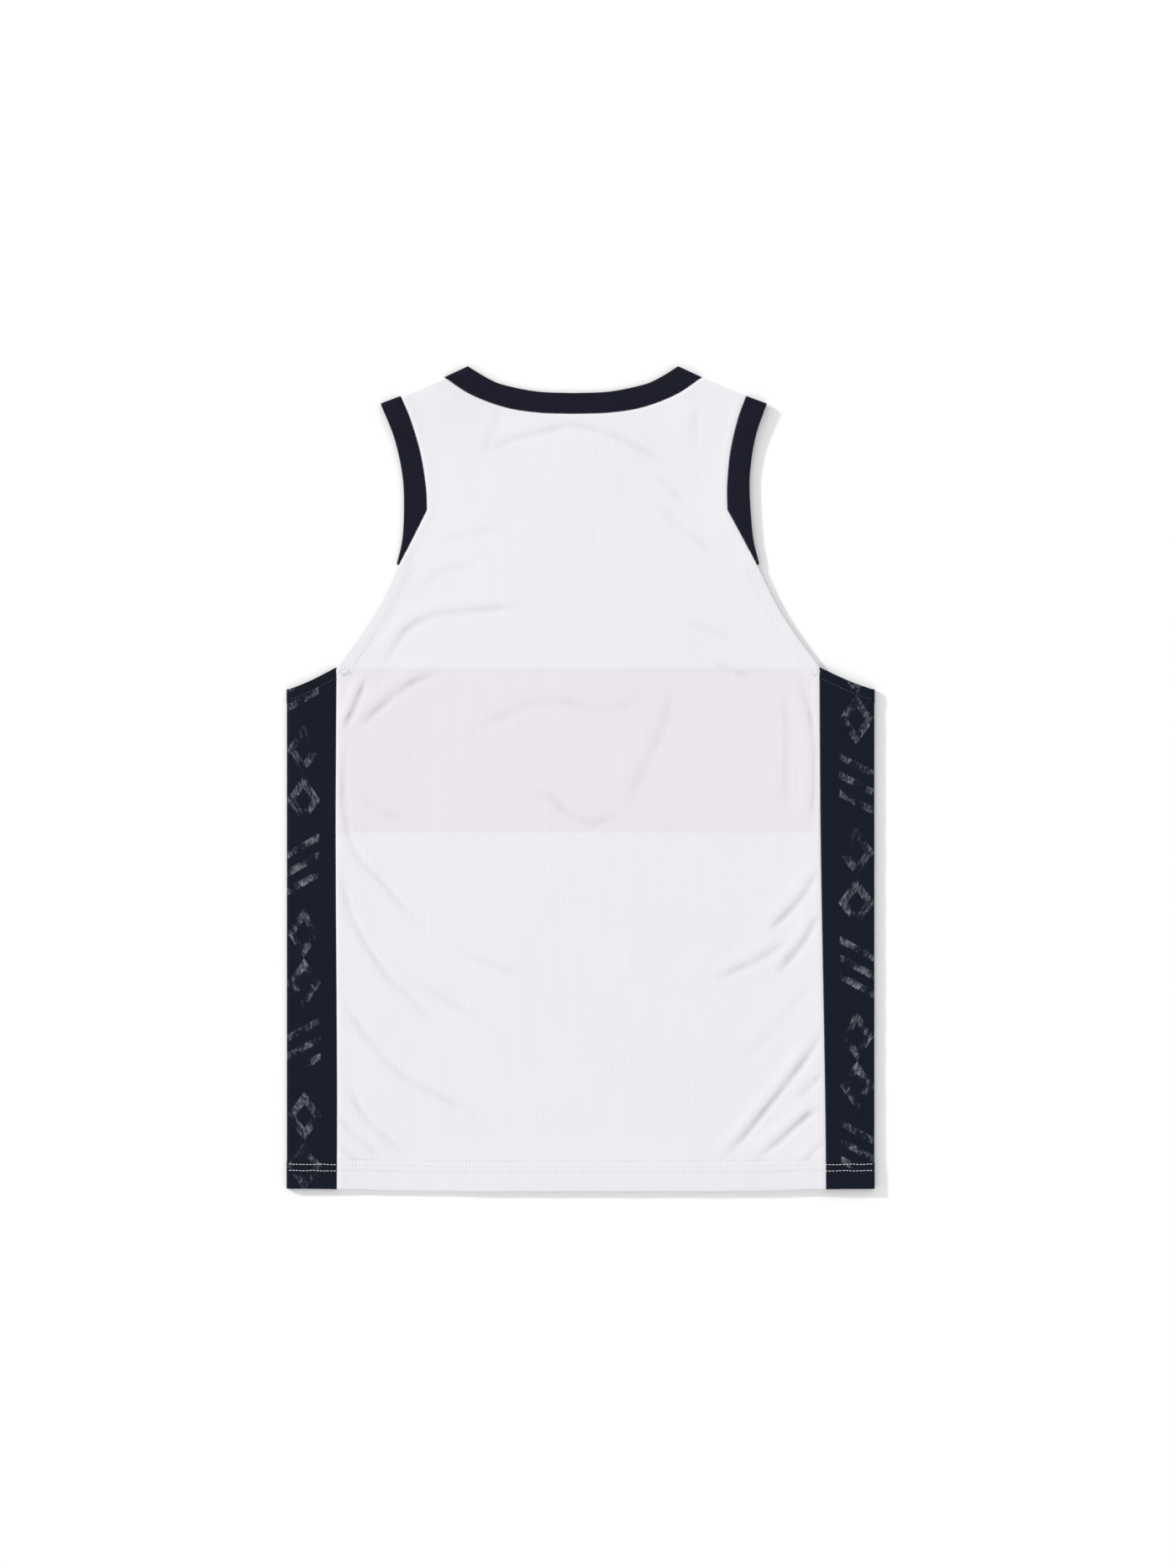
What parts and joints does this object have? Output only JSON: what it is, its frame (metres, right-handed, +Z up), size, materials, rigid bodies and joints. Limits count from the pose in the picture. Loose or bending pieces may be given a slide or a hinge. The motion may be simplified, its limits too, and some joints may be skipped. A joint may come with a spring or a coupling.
{
  "type": "sleeveless basketball jersey",
  "caption": "Sleeveless basketball jersey laid flat with its back up: ribbed mesh panels, contrast side panels that wrap the side folds, and knit ribs at neck and armholes.",
  "frame": {"origin": "centre of the bounding box on the surface that the jersey lies on", "axes": "+X to the right of the back as seen from above, +Y from the hem to the neck, +Z up from the surface"},
  "size_m": [0.549, 0.7702, 0.0073],
  "materials": {
    "white_mesh": "matt white knit mesh with fine vertical ribs",
    "rose_mesh": "matt muted rose knit mesh",
    "navy_mesh": "matt navy knit mesh with a worn grey pattern along the side fold",
    "navy_rib": "matt navy rib knit"
  },
  "bodies": {
    "root": {"back_panel": "white_mesh", "front_yoke": "white_mesh", "front_chest_band": "rose_mesh", "front_lower_panel": "white_mesh", "side_panel_left": "navy_mesh", "side_panel_right": "navy_mesh", "neck_rib": "navy_rib", "armhole_rib_left": "navy_rib", "armhole_rib_right": "navy_rib"}
  },
  "joints": []
}
